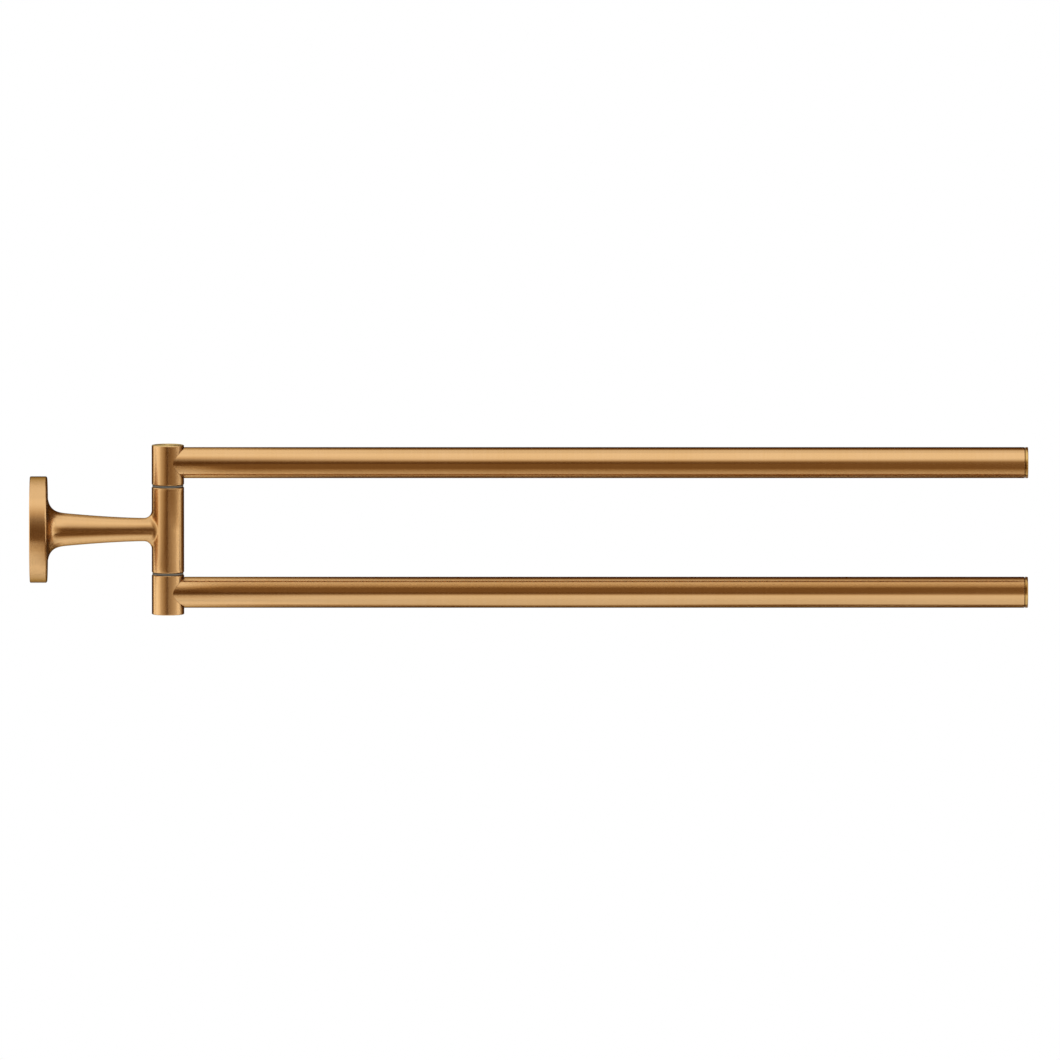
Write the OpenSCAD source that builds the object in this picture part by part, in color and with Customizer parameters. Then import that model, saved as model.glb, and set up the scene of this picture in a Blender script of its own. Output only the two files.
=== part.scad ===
// Two-arm towel holder for a bathroom wall. A round rosette carries a trumpet-shaped neck with an
// upright barrel on its end. An axle through the barrel carries one hub above and one below, and each
// hub holds a long straight tube that swings from side to side.
//
// Frame: millimetres. The origin is the centre of the rosette's back, on the wall. +X points out of
// the wall along the arms at rest, +Z is up and +Y runs along the wall.

/* [Reach] */
// Distance from the wall to the tips of the arms
reach = 450; // [250:5:700]
// Distance from the wall to the upright pivot axis
pivot_out = 62.2; // [52:0.1:110]

/* [Rosette] */
// Diameter of the rosette
rosette_d = 48; // [44:0.5:80]
// Thickness of the rosette from the wall to its front face
rosette_t = 7.8; // [6.5:0.1:14]
// Radius of the rosette's rounded front edge
rosette_edge = 0.8; // [0.2:0.1:1.4]
// Width of the rim that stands round the wall plate
rim_w = 3.5; // [2:0.1:5]
// Thickness of the rosette's face over the wall plate
face_t = 2.2; // [1.2:0.1:3]

/* [Neck] */
// Diameter of the neck where it meets the barrel
neck_d = 10.5; // [8:0.1:12]
// Diameter of the neck's taper where it leaves the rosette, without the flare
root_d = 16.4; // [12:0.1:20]
// How fast the taper thins: 1 is a straight cone, more is hollower
taper_power = 1.54; // [1:0.02:2.4]
// Width of the flat ring left on the rosette's face between its rounded edge and the flare
flat_w = 1.2; // [0.4:0.1:6]
// How far the flare runs along the neck
flare_len = 10.7; // [4:0.1:16]
// Radius of the blend between the neck and the barrel
neck_fillet = 3.5; // [1:0.1:5]

/* [Barrel and hubs] */
// Height of the fixed barrel
barrel_h = 38.6; // [24:0.1:60]
// Radius of the rounded edges of the barrel and the hubs
hub_edge = 0.4; // [0.1:0.05:0.8]
// How far the barrel and hubs stand out past the tube on each side
hub_lip = 0.3; // [0.2:0.05:2]
// Height of the hub above its tube
hub_above = 1; // [0.6:0.1:6]
// Height of the hub below its tube
hub_below = 2.9; // [1:0.1:6]
// Thickness of the hub's wall round its counterbores
hub_wall = 1.7; // [1:0.1:2.4]

/* [Arm tubes] */
// Outer diameter of the arm tube
tube_d = 14; // [12.5:0.5:22]
// Wall thickness of the arm tube
tube_wall = 1; // [0.6:0.1:1.6]
// Thickness of the end cap that shows beyond the tube
tip_t = 1.7; // [1:0.1:4]
// Radius of the end cap's rounded edge
tip_edge = 0.4; // [0.1:0.05:0.6]
// Width of the groove that parts the end cap from its tube
seam_w = 0.3; // [0.1:0.05:0.4]
// Depth of that groove
seam_depth = 0.35; // [0.1:0.05:0.5]
// Length of the end cap's plug inside the tube
plug_len = 8; // [4:0.5:20]
// Length of the spigot that centres the tube on its hub
spigot_len = 12; // [6:0.5:30]

/* [Pivot] */
// Wall thickness of the bush between the axle and the hub
bush_wall = 0.8; // [0.5:0.1:1.2]
// Thickness of the grey friction ring between the barrel and a hub
ring_t = 1.1; // [0.5:0.1:3]
// How far the friction ring stays inside the barrel's outer face
ring_inset = 0.3; // [0.1:0.05:0.8]
// Free height of the disc spring under the thrust washer
spring_h = 0.9; // [0.6:0.05:1.4]
// Thickness of the disc spring's sheet
spring_t = 0.4; // [0.2:0.05:0.5]
// Width of the disc spring's ring from its bore to its rim; the axle fills the room inside it
spring_w = 1.3; // [1:0.05:2]
// Thickness of the thrust washer
washer_t = 0.8; // [0.5:0.1:1.5]
// Thickness of the cover cap that closes a hub
cover_t = 1.2; // [0.8:0.1:2]

/* [Fasteners] */
// Thread diameter of the retaining screws in the axle's ends
screw_d = 4; // [3:0.5:5]
// Length of the retaining screw below its head
screw_len = 10; // [6:1:16]
// Head diameter of the retaining screw
head_d = 7.6; // [6:0.1:8]
// Head height of the retaining screw
head_h = 2.2; // [1.6:0.1:3]
// Width across the flats of the retaining screw's socket
head_key = 2.5; // [2:0.1:3]
// Thread diameter of the grub screw under the rosette
grub_d = 4; // [3:0.5:4]
// Width across the flats of the grub screw's socket
grub_key = 2; // [1.5:0.1:2.2]
// Diameter of the wall screws' holes
wall_hole_d = 4.5; // [3.5:0.1:5.5]
// Diameter of the countersink that takes a wall screw's head
wall_head_d = 9; // [7:0.1:10]
// Height from one wall screw to the other
wall_hole_pitch = 26; // [20:0.5:28]

/* [Fits] */
// Gap all round between parts that turn, press or slide together
fit = 0.05; // [0.02:0.01:0.1]
// Loose gap round the wall plate and over it
plate_gap = 0.3; // [0.1:0.05:0.6]
// Free height between the retaining screw's head and the cover cap
head_gap = 0.4; // [0.2:0.1:1]
// Loose gap of a washer in its counterbore, and of the spring round the axle
washer_gap = 0.4; // [0.1:0.05:0.6]

/* [Hidden] */
$fn = 96;

// Colours of the finishes
bronze = [0.72, 0.53, 0.33];
polished_bronze = [0.82, 0.64, 0.33];
steel = [0.72, 0.72, 0.73];
grey_plastic = [0.38, 0.38, 0.37];

// A cut runs this far past the face that it opens
over = 1;
// Steps in a quarter turn of a small rounded edge
edge_steps = 6;

// Rosette and wall plate
rosette_r = rosette_d / 2;
recess_r = rosette_r - rim_w;
recess_depth = rosette_t - face_t;
plate_r = recess_r - plate_gap;
plate_t = recess_depth - plate_gap;
plate_edge = 0.3;
groove_depth = 1;
// The grub screw clears the rosette's face by grub_margin
grub_margin = 0.3;
grub_x = recess_depth - grub_d / 2 - grub_margin;
grub_sink = 0.3;
grub_tip_r = 0.4;
socket_depth = 1.4;

// Barrel, hubs and what is stacked inside them
tube_r = tube_d / 2;
pivot_r = tube_r + hub_lip;
neck_r = neck_d / 2;
root_r = root_d / 2;
hub_h = hub_below + tube_d + hub_above;
tube_z = hub_below + tube_r;
counter_r = pivot_r - hub_wall;
counter_depth = spring_h + washer_t + head_h + head_gap + cover_t;
cover_edge = 0.2;
axle_r = counter_r - 2 * washer_gap - spring_w;
bush_r = axle_r + fit + bush_wall;
web_top = hub_h - counter_depth;
// The spigot's shank is as thick as the web round it allows
web_margin = 0.5;
shank_r = min(tube_z - counter_depth, web_top - tube_z) - web_margin;

// Heights above the barrel's middle, in the order of the stack
ring_z = barrel_h / 2;
hub_z = ring_z + ring_t;
spring_z = hub_z + web_top;
washer_z = spring_z + spring_h;
head_z = washer_z + washer_t;
cover_z = hub_z + hub_h - cover_t;
upper_hub_z = hub_z;
lower_hub_z = -hub_z - hub_h;

// The neck runs from the rosette's face to the point where its blend into the barrel starts
neck_end = pivot_out - pivot_r - neck_fillet;
flare_h = rosette_r - rosette_edge - flat_w - root_r;
flare_step = 5;
taper_steps = 14;

// Points of a quarter circle about centre c from angle a, for a rounded edge of an outline
function quarter(c, r, a) =
    [for (i = [0:edge_steps]) let (b = a + 90 * i / edge_steps) c + r * [cos(b), sin(b)]];

// Radius of the neck's plain taper at distance x from the wall
function taper_r(x) =
    neck_r + (root_r - neck_r) * pow(max(neck_end - x, 0) / (neck_end - rosette_t), taper_power);

// A point of the flare: it leaves the face flat and dies out along the taper
function flare_x(t) = rosette_t + flare_len * (1 - sqrt(cos(t)));
function flare_point(t) = [taper_r(flare_x(t)) + flare_h * (1 - sqrt(sin(t))), flare_x(t)];
function taper_point(i) =
    let (x = rosette_t + flare_len + (neck_end - rosette_t - flare_len) * i / taper_steps)
    [taper_r(x), x];

// A rod or tube along +Z with rounded outer edges
module rounded_rod(r, h, edge) {
    rotate_extrude()
        polygon(concat(
            [[0, 0]],
            quarter([r - edge, edge], edge, -90),
            quarter([r - edge, h - edge], edge, 0),
            [[0, h]]
        ));
}

module ring(outer_r, inner_r, h) {
    difference() {
        cylinder(r = outer_r, h = h);
        translate([0, 0, -over])
            cylinder(r = inner_r, h = h + 2 * over);
    }
}

// Turns something that stands along +Z so that it lies along +X
module along_x() {
    rotate([0, 90, 0])
        children();
}

// Stands something on the upright pivot axis, at height z
module on_pivot(z) {
    translate([pivot_out, 0, z])
        children();
}

// A six-sided key socket that goes down into a screw from z = 0
module key_socket(flats) {
    translate([0, 0, -socket_depth])
        cylinder(d = flats / cos(30), h = socket_depth + over, $fn = 6);
}

// Blend between the neck and the barrel: the surface left by a ball that rolls round their corner.
// Both contact lines lie a little under the two surfaces, so the blend runs into them.
blend_sink = 0.05;
blend_turns = 48;
blend_steps = 8;
blend_neck_r = neck_r - blend_sink;
blend_barrel_r = pivot_r - blend_sink;
blend_points = blend_turns * (blend_steps + 1);

// Centre of the ball at angle a round the neck, measured from the pivot axis
function ball(a) =
    let (y = (blend_neck_r + neck_fillet) * sin(a), reach_r = blend_barrel_r + neck_fillet)
    [-sqrt(reach_r * reach_r - y * y), y, (blend_neck_r + neck_fillet) * cos(a)];
function to_neck(a) = [0, -sin(a), -cos(a)];
function to_barrel(a) = [-ball(a)[0], -ball(a)[1], 0] / (blend_barrel_r + neck_fillet);
// A point on the ball between the two contact directions
function blend_point(a, s) =
    let (u = to_neck(a), v = to_barrel(a), w = acos(u * v))
    ball(a) + neck_fillet * (sin((1 - s) * w) * u + sin(s * w) * v) / sin(w);

module neck_blend() {
    last = blend_points;
    points = concat(
        [
            for (i = [0:blend_turns - 1]) for (j = [0:blend_steps])
                blend_point(360 * i / blend_turns, j / blend_steps)
        ],
        [[-pivot_r - neck_fillet / 2, 0, 0], [-pivot_r / 3, 0, 0]]
    );
    function at(i, j) = (i % blend_turns) * (blend_steps + 1) + j;
    faces = concat(
        [
            for (i = [0:blend_turns - 1]) for (j = [0:blend_steps - 1])
                [at(i, j), at(i + 1, j), at(i, j + 1)]
        ],
        [
            for (i = [0:blend_turns - 1]) for (j = [0:blend_steps - 1])
                [at(i + 1, j), at(i + 1, j + 1), at(i, j + 1)]
        ],
        [for (i = [0:blend_turns - 1]) [at(i + 1, 0), at(i, 0), last]],
        [for (i = [0:blend_turns - 1]) [at(i, blend_steps), at(i + 1, blend_steps), last + 1]]
    );
    polyhedron(points, faces);
}

// Rosette and neck, turned about the X axis, with the recess for the wall plate in its back
module rosette_and_neck() {
    along_x()
        rotate_extrude()
            polygon(concat(
                [
                    [0, recess_depth],
                    [recess_r, recess_depth],
                    [recess_r, 0],
                    [rosette_r - plate_edge, 0],
                    [rosette_r, plate_edge]
                ],
                quarter([rosette_r - rosette_edge, rosette_t - rosette_edge], rosette_edge, 0),
                [for (t = [0:flare_step:90]) flare_point(t)],
                [for (i = [1:taper_steps]) taper_point(i)],
                [[neck_r, pivot_out - pivot_r / 2], [0, pivot_out - pivot_r / 2]]
            ));
}

// Disc that is screwed to the wall, with a groove round its rim for the grub screw
module wall_plate() {
    // A countersink of 90 degrees is as deep as it is wide on each side
    sink = (wall_head_d - wall_hole_d) / 2;
    color(steel)
        difference() {
            along_x()
                rotate_extrude()
                    polygon([
                        [0, 0],
                        [plate_r, 0],
                        [plate_r, grub_x - groove_depth],
                        [plate_r - groove_depth, grub_x],
                        [plate_r, grub_x + groove_depth],
                        [plate_r, plate_t - plate_edge],
                        [plate_r - plate_edge, plate_t],
                        [0, plate_t]
                    ]);
            for (side = [-1, 1])
                translate([0, 0, side * wall_hole_pitch / 2])
                    along_x() {
                        translate([0, 0, -over])
                            cylinder(d = wall_hole_d, h = plate_t + 2 * over);
                        translate([0, 0, plate_t - sink])
                            cylinder(d1 = wall_hole_d, d2 = wall_head_d, h = sink);
                    }
        }
}

// One casting: rosette, trumpet neck and upright barrel, bored for the axle
module wall_post() {
    color(bronze)
        difference() {
            union() {
                rosette_and_neck();
                on_pivot(0)
                    neck_blend();
                on_pivot(-barrel_h / 2)
                    rounded_rod(pivot_r, barrel_h, hub_edge);
            }
            on_pivot(-barrel_h / 2 - over)
                cylinder(r = axle_r + fit, h = barrel_h + 2 * over);
            translate([grub_x, 0, -rosette_r - over])
                cylinder(d = grub_d + 2 * fit, h = rim_w + 2 * over);
        }
}

// Headless screw under the rosette whose point sits in the wall plate's groove
module rosette_grub_screw() {
    point_h = grub_d / 2 - grub_tip_r;
    tip_z = -plate_r + groove_depth - grub_tip_r - fit;
    foot_z = -rosette_r + grub_sink;
    color(steel)
        translate([grub_x, 0, 0])
            difference() {
                union() {
                    translate([0, 0, foot_z])
                        cylinder(d = grub_d, h = tip_z - point_h - foot_z);
                    translate([0, 0, tip_z - point_h])
                        cylinder(r1 = grub_d / 2, r2 = grub_tip_r, h = point_h);
                }
                translate([0, 0, foot_z])
                    mirror([0, 0, 1])
                        key_socket(grub_key);
            }
}

// Fixed rod through the barrel and both hubs, tapped at both ends
module pivot_axle() {
    tap_depth = screw_len - washer_t + over;
    color(steel)
        on_pivot(0)
            difference() {
                translate([0, 0, -washer_z])
                    cylinder(r = axle_r, h = 2 * washer_z);
                for (side = [0, 1])
                    mirror([0, 0, side])
                        translate([0, 0, washer_z - tap_depth])
                            cylinder(d = screw_d + 2 * fit, h = tap_depth + over);
            }
}

// Button-head screw, with the underside of its head at z = 0
module button_screw() {
    difference() {
        union() {
            translate([0, 0, -screw_len])
                cylinder(d = screw_d, h = screw_len + over);
            rotate_extrude()
                polygon(concat(
                    [[0, 0], [head_d / 2, 0]],
                    [for (a = [15:15:75]) [head_d / 4 + head_d / 4 * cos(a), head_h * sin(a)]],
                    [[head_d / 4, head_h], [0, head_h]]
                ));
        }
        translate([0, 0, head_h])
            key_socket(head_key);
    }
}

// The two screws that hold the thrust washers on the axle's ends
module retaining_screws() {
    color(steel)
        on_pivot(0)
            for (side = [0, 1])
                mirror([0, 0, side])
                    translate([0, 0, head_z])
                        button_screw();
}

// The pieces stacked on the axle's upper end; the lower end carries the same, mirrored
module friction_ring() {
    color(grey_plastic)
        translate([0, 0, ring_z])
            ring(pivot_r - ring_inset, axle_r + fit, ring_t);
}

module disc_spring() {
    inner_r = axle_r + washer_gap;
    outer_r = counter_r - washer_gap;
    color(steel)
        translate([0, 0, spring_z])
            rotate_extrude()
                polygon([
                    [inner_r, spring_h - spring_t],
                    [outer_r, 0],
                    [outer_r, spring_t],
                    [inner_r, spring_h]
                ]);
}

module thrust_washer() {
    color(steel)
        translate([0, 0, washer_z])
            ring(counter_r - washer_gap, screw_d / 2 + 2 * fit, washer_t);
}

module hub_bush() {
    collar_r = counter_r - fit;
    color(grey_plastic)
        translate([0, 0, hub_z])
            difference() {
                union() {
                    cylinder(r = collar_r, h = counter_depth);
                    cylinder(r = bush_r, h = web_top - fit);
                }
                translate([0, 0, -over])
                    cylinder(r = axle_r + fit, h = web_top + 2 * over);
            }
}

module hub_cover() {
    color(bronze)
        translate([0, 0, cover_z])
            rounded_rod(counter_r - fit, cover_t, cover_edge);
}

module upper_friction_ring() { on_pivot(0) friction_ring(); }
module upper_disc_spring() { on_pivot(0) disc_spring(); }
module upper_thrust_washer() { on_pivot(0) thrust_washer(); }
module upper_hub_bush() { on_pivot(0) hub_bush(); }
module upper_hub_cover() { on_pivot(0) hub_cover(); }
module lower_friction_ring() { on_pivot(0) mirror([0, 0, 1]) friction_ring(); }
module lower_disc_spring() { on_pivot(0) mirror([0, 0, 1]) disc_spring(); }
module lower_thrust_washer() { on_pivot(0) mirror([0, 0, 1]) thrust_washer(); }
module lower_hub_bush() { on_pivot(0) mirror([0, 0, 1]) hub_bush(); }
module lower_hub_cover() { on_pivot(0) mirror([0, 0, 1]) hub_cover(); }

// The four pieces below make an arm. Both arms are the same way up, and stand at height z.

// Hub with a bore for its bush, a counterbore in each end and a cross hole for the spigot
module hub(z) {
    color(bronze)
        on_pivot(z)
            difference() {
                rounded_rod(pivot_r, hub_h, hub_edge);
                translate([0, 0, -over])
                    cylinder(r = bush_r + fit, h = hub_h + 2 * over);
                translate([0, 0, -over])
                    cylinder(r = counter_r, h = counter_depth + over);
                translate([0, 0, web_top])
                    cylinder(r = counter_r, h = counter_depth + over);
                translate([0, 0, tube_z])
                    along_x()
                        cylinder(r = shank_r, h = pivot_r + over);
            }
}

// Round the hub, as a saddle cut in the end of a tube or spigot that lies along +X
module saddle_cut() {
    translate([0, 0, -tube_d])
        cylinder(r = pivot_r + fit, h = 2 * tube_d);
}

// Plug with a shank in the hub, which centres the tube
module tube_spigot(z) {
    color(steel)
        on_pivot(z + tube_z) {
            difference() {
                along_x()
                    cylinder(r = tube_r - tube_wall - fit, h = pivot_r + spigot_len);
                saddle_cut();
            }
            translate([bush_r + 2 * fit, 0, 0])
                along_x()
                    cylinder(r = shank_r - fit, h = pivot_r + spigot_len - bush_r - 2 * fit);
        }
}

module tube(z) {
    color(bronze)
        on_pivot(z + tube_z)
            difference() {
                along_x()
                    ring(tube_r, tube_r - tube_wall, reach - tip_t - pivot_out);
                saddle_cut();
            }
}

// Polished cap with a plug that goes into the tube's end
module tip_cap(z) {
    color(polished_bronze)
        translate([reach - tip_t, 0, z + tube_z])
            along_x() {
                rotate_extrude()
                    polygon(concat(
                        [
                            [0, 0],
                            [tube_r - seam_depth, 0],
                            [tube_r - seam_depth, seam_w],
                            [tube_r, seam_w]
                        ],
                        quarter([tube_r - tip_edge, tip_t - tip_edge], tip_edge, 0),
                        [[0, tip_t]]
                    ));
                translate([0, 0, -plug_len])
                    cylinder(r = tube_r - tube_wall - fit, h = plug_len + tip_t / 2);
            }
}

module upper_hub() { hub(upper_hub_z); }
module upper_tube_spigot() { tube_spigot(upper_hub_z); }
module upper_tube() { tube(upper_hub_z); }
module upper_tip_cap() { tip_cap(upper_hub_z); }
module lower_hub() { hub(lower_hub_z); }
module lower_tube_spigot() { tube_spigot(lower_hub_z); }
module lower_tube() { tube(lower_hub_z); }
module lower_tip_cap() { tip_cap(lower_hub_z); }

wall_plate();
wall_post();
rosette_grub_screw();
pivot_axle();
retaining_screws();
upper_friction_ring();
upper_disc_spring();
upper_thrust_washer();
lower_friction_ring();
lower_disc_spring();
lower_thrust_washer();
upper_hub();
upper_hub_bush();
upper_hub_cover();
upper_tube_spigot();
upper_tube();
upper_tip_cap();
lower_hub();
lower_hub_bush();
lower_hub_cover();
lower_tube_spigot();
lower_tube();
lower_tip_cap();
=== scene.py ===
import math
import bmesh
import bpy
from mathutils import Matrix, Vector
from mathutils.kdtree import KDTree


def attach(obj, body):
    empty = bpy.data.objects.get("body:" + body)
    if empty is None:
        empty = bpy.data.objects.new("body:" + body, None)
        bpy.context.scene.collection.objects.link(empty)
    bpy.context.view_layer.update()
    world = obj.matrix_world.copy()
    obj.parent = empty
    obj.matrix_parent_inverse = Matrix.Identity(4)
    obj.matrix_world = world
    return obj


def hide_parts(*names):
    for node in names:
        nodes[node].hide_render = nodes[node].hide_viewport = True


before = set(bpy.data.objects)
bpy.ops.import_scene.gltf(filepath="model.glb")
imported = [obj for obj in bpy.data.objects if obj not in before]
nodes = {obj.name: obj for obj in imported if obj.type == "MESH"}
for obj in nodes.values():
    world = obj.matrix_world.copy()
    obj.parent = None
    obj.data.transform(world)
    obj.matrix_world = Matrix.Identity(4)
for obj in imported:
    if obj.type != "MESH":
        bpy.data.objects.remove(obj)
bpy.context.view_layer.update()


# Wall plate.
# A stainless disc, turned on a lathe and screwed to the wall through two countersunk holes. The rosette
# drops over it, and the groove round its rim takes the point of the grub screw.
MM = 0.001
PLATE_R = 20.2
PLATE_T = 5.3
GROOVE_X = 3.3
GROOVE_DEPTH = 1
PLATE_EDGE = 0.3
BACK_EDGE = 0.1
WALL_HOLE_R = 2.25
WALL_HEAD_R = 4.5
WALL_HOLE_Z = 13
PAST = 1
FINE_SIDES = 144
HOLE_SIDES = 64
WELD = 1e-6
NOISE_LOW, NOISE_HIGH = 0.3, 0.7
TOOL_MARK = (0.5, 12)
TOOL_RELIEF = 0.004
STEEL, STEEL_PALE = "#A7A8AA", "#BDBEC0"
STEEL_ROUGH = (0.26, 0.36)


def deselect():
    """Leaves nothing selected, because loading the frame leaves its nodes selected."""
    bpy.ops.object.select_all(action="DESELECT")


def turned(name, axis, centre, outline, sides=FINE_SIDES):
    """Draws an outline of (distance along the axis, radius) and spins it about the axis."""
    along = Vector((1, 0, 0)) if axis == "X" else Vector((0, 0, 1))
    across = Vector((0, 0, 1)) if axis == "X" else Vector((1, 0, 0))
    middle = Vector(centre) * MM
    points = [middle + (along * a + across * r) * MM for a, r in outline]
    deselect()
    bpy.ops.mesh.primitive_plane_add(size=MM)
    piece = bpy.context.object
    piece.name = piece.data.name = name
    bpy.ops.object.mode_set(mode="EDIT")
    bpy.ops.mesh.select_all(action="SELECT")
    bpy.ops.mesh.merge(type="CENTER")
    bpy.ops.transform.translate(value=points[0])
    for here, there in zip(points, points[1:]):
        bpy.ops.mesh.extrude_vertices_move(TRANSFORM_OT_translate={"value": there - here})
    bpy.ops.mesh.select_all(action="SELECT")
    bpy.ops.mesh.spin(steps=sides, angle=2 * math.pi, center=middle, axis=along)
    bpy.ops.mesh.select_all(action="SELECT")
    bpy.ops.mesh.remove_doubles(threshold=WELD)
    bpy.ops.mesh.normals_make_consistent(inside=False)
    bpy.ops.object.mode_set(mode="OBJECT")
    return piece


def rounded(a, r, edge, start, sweep=-90, steps=4):
    """Points of an outline's rounded edge about (a, r), from angle start, in degrees."""
    angles = [math.radians(start + sweep * i / steps) for i in range(steps + 1)]
    return [(a + edge * math.cos(t), r + edge * math.sin(t)) for t in angles]


def cut_away(piece, cutter):
    """Takes the cutter's shape out of the piece, and the cutter out of the scene."""
    cut = piece.modifiers.new("cut", "BOOLEAN")
    cut.operation = "DIFFERENCE"
    cut.solver = "EXACT"
    cut.object = cutter
    deselect()
    piece.select_set(True)
    bpy.context.view_layer.objects.active = piece
    bpy.ops.object.modifier_apply(modifier=cut.name)
    bpy.data.objects.remove(cutter)


def smooth(piece, degrees=40):
    """Shades round faces smooth, keeps corners sharp, and lets flat faces rule the shading."""
    deselect()
    piece.select_set(True)
    bpy.context.view_layer.objects.active = piece
    bpy.ops.object.shade_smooth_by_angle(angle=math.radians(degrees))
    weighted = piece.modifiers.new("weighted", "WEIGHTED_NORMAL")
    weighted.keep_sharp = True
    bpy.ops.object.modifier_apply(modifier=weighted.name)


def linear(code):
    """Turns an sRGB hex colour to the linear colour that a shader takes."""
    parts = [int(code[i:i + 2], 16) / 255 for i in (1, 3, 5)]
    return tuple(p / 12.92 if p <= 0.04045 else ((p + 0.055) / 1.055) ** 2.4 for p in parts) + (1,)


def add(tree, kind, links=None, **settings):
    """Adds a node with its settings. links gives each input, by name or number, a value or an output."""
    made = tree.nodes.new(kind)
    for name, value in settings.items():
        setattr(made, name, value)
    for socket, value in (links or {}).items():
        if isinstance(value, bpy.types.NodeSocket):
            tree.links.new(value, made.inputs[socket])
        else:
            made.inputs[socket].default_value = value
    return made


def lathe_marks(tree, axis, centre):
    """Gives the tool marks' place, which changes along the axis and with the radius, and their
    direction round it."""
    spot = add(tree, "ShaderNodeTexCoord").outputs["Object"]
    off = add(tree, "ShaderNodeVectorMath", {0: spot, 1: [c * MM for c in centre]},
              operation="SUBTRACT").outputs[0]
    flat = (0, 1, 1) if axis == "X" else (1, 1, 0)
    radial = add(tree, "ShaderNodeVectorMath", {0: off, 1: flat}, operation="MULTIPLY").outputs[0]
    radius = add(tree, "ShaderNodeVectorMath", {0: radial}, operation="LENGTH").outputs["Value"]
    parts = add(tree, "ShaderNodeSeparateXYZ", {0: off}).outputs
    along, side = (parts[0], parts[1]) if axis == "X" else (parts[2], parts[0])
    place = add(tree, "ShaderNodeCombineXYZ", {0: along, 1: radius, 2: side}).outputs[0]
    line = (1, 0, 0) if axis == "X" else (0, 0, 1)
    turn = add(tree, "ShaderNodeVectorMath", {0: line, 1: off}, operation="CROSS_PRODUCT").outputs[0]
    turn = add(tree, "ShaderNodeVectorTransform", {0: turn}, vector_type="VECTOR",
               convert_from="OBJECT", convert_to="WORLD").outputs[0]
    return place, add(tree, "ShaderNodeVectorMath", {0: turn}, operation="NORMALIZE").outputs[0]


def strokes(tree, place, spacing, length):
    """Noise drawn out into strokes, from 0 to 1, with their spacing and length in millimetres."""
    scale = (1 / (spacing * MM), 1 / (spacing * MM), 1 / (length * MM))
    spread = add(tree, "ShaderNodeVectorMath", {0: place, 1: scale}, operation="MULTIPLY").outputs[0]
    noise = add(tree, "ShaderNodeTexNoise", {"Vector": spread, "Scale": 1, "Detail": 2}).outputs["Fac"]
    return add(tree, "ShaderNodeMapRange", {0: noise, 1: NOISE_LOW, 2: NOISE_HIGH}).outputs[0]


def new_material(name):
    """An empty node material with its output and a principled shader."""
    made = bpy.data.materials.new(name)
    made.use_nodes = True
    made.node_tree.nodes.clear()
    shader = add(made.node_tree, "ShaderNodeBsdfPrincipled")
    add(made.node_tree, "ShaderNodeOutputMaterial", {"Surface": shader.outputs[0]})
    return made, made.node_tree, shader


def turned_steel(name, axis, centre):
    """Stainless steel, turned: fine rings left by the tool, a soft grey mirror that stretches across
    them. Real marks are about 0.1 mm apart and are drawn 0.5 mm apart, to show."""
    made, tree, shader = new_material(name)
    place, turn = lathe_marks(tree, axis, centre)
    marks = strokes(tree, place, *TOOL_MARK)
    tone = add(tree, "ShaderNodeMix", {0: marks, 6: linear(STEEL), 7: linear(STEEL_PALE)},
               data_type="RGBA").outputs[2]
    tree.links.new(tone, shader.inputs["Base Color"])
    rough = add(tree, "ShaderNodeMapRange", {0: marks, 3: STEEL_ROUGH[0], 4: STEEL_ROUGH[1]}).outputs[0]
    tree.links.new(rough, shader.inputs["Roughness"])
    raised = add(tree, "ShaderNodeBump",
                 {"Height": marks, "Strength": 0.25, "Distance": TOOL_RELIEF * MM})
    tree.links.new(raised.outputs[0], shader.inputs["Normal"])
    tree.links.new(turn, shader.inputs["Tangent"])
    shader.inputs["Metallic"].default_value = 1
    shader.inputs["Anisotropic"].default_value = 0.5
    shader.inputs["Anisotropic Rotation"].default_value = 0.25
    return made


def dress(piece, material):
    """Gives a piece, or a node of the frame, one material all over."""
    if piece.material_slots:
        for slot in piece.material_slots:
            slot.material = material
    else:
        piece.data.materials.append(material)


wall_plate = turned("visible_wall_plate", "X", (0, 0, 0), [
    (0, 0), (0, PLATE_R - BACK_EDGE), (BACK_EDGE, PLATE_R),
    (GROOVE_X - GROOVE_DEPTH, PLATE_R), (GROOVE_X, PLATE_R - GROOVE_DEPTH),
    (GROOVE_X + GROOVE_DEPTH, PLATE_R),
    (PLATE_T - PLATE_EDGE, PLATE_R), (PLATE_T, PLATE_R - PLATE_EDGE), (PLATE_T, 0)])
for side in (-1, 1):
    sink = WALL_HEAD_R - WALL_HOLE_R
    cut_away(wall_plate, turned("countersink", "X", (0, 0, side * WALL_HOLE_Z), [
        (-PAST, 0), (-PAST, WALL_HOLE_R), (PLATE_T - sink, WALL_HOLE_R),
        (PLATE_T + PAST, WALL_HEAD_R + PAST), (PLATE_T + PAST, 0)], sides=HOLE_SIDES))
smooth(wall_plate)
dress(wall_plate, turned_steel("stainless_steel_faced", "X", (0, 0, 0)))
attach(wall_plate, "wall_bracket")
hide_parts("wall_plate")


# Casting: rosette, trumpet neck and upright barrel.
# One brass casting, turned about two axes, its corner blended as a ball that rolls round it would leave
# it, then brushed and coated bronze.
PIVOT_X = 62.2
ROSETTE_R = 24
ROSETTE_T = 7.8
ROSETTE_EDGE = 0.8
RECESS_R = 20.5
RECESS_DEPTH = 5.6
RECESS_EDGE = 0.15
BACK_RIM_EDGE = 0.3
FLAT_W = 1.2
FLARE_LEN = 10.7
ROOT_R = 8.2
NECK_R = 5.25
TAPER_POWER = 1.54
BLEND_R = 3.5
BARREL_R = 7.3
BARREL_H = 38.6
HUB_EDGE = 0.4
AXLE_R = 3.5
FIT = 0.05
GRUB_R = 2
RING_SIDES = 256
FLARE_STEPS = 26
TAPER_STEPS = 20
BLEND_STEPS = 12
SKIN_STEPS = 12
SKIN_POWER = 1.3
CORNER_STEP = 48
EDGE_STEPS = 5
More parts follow.
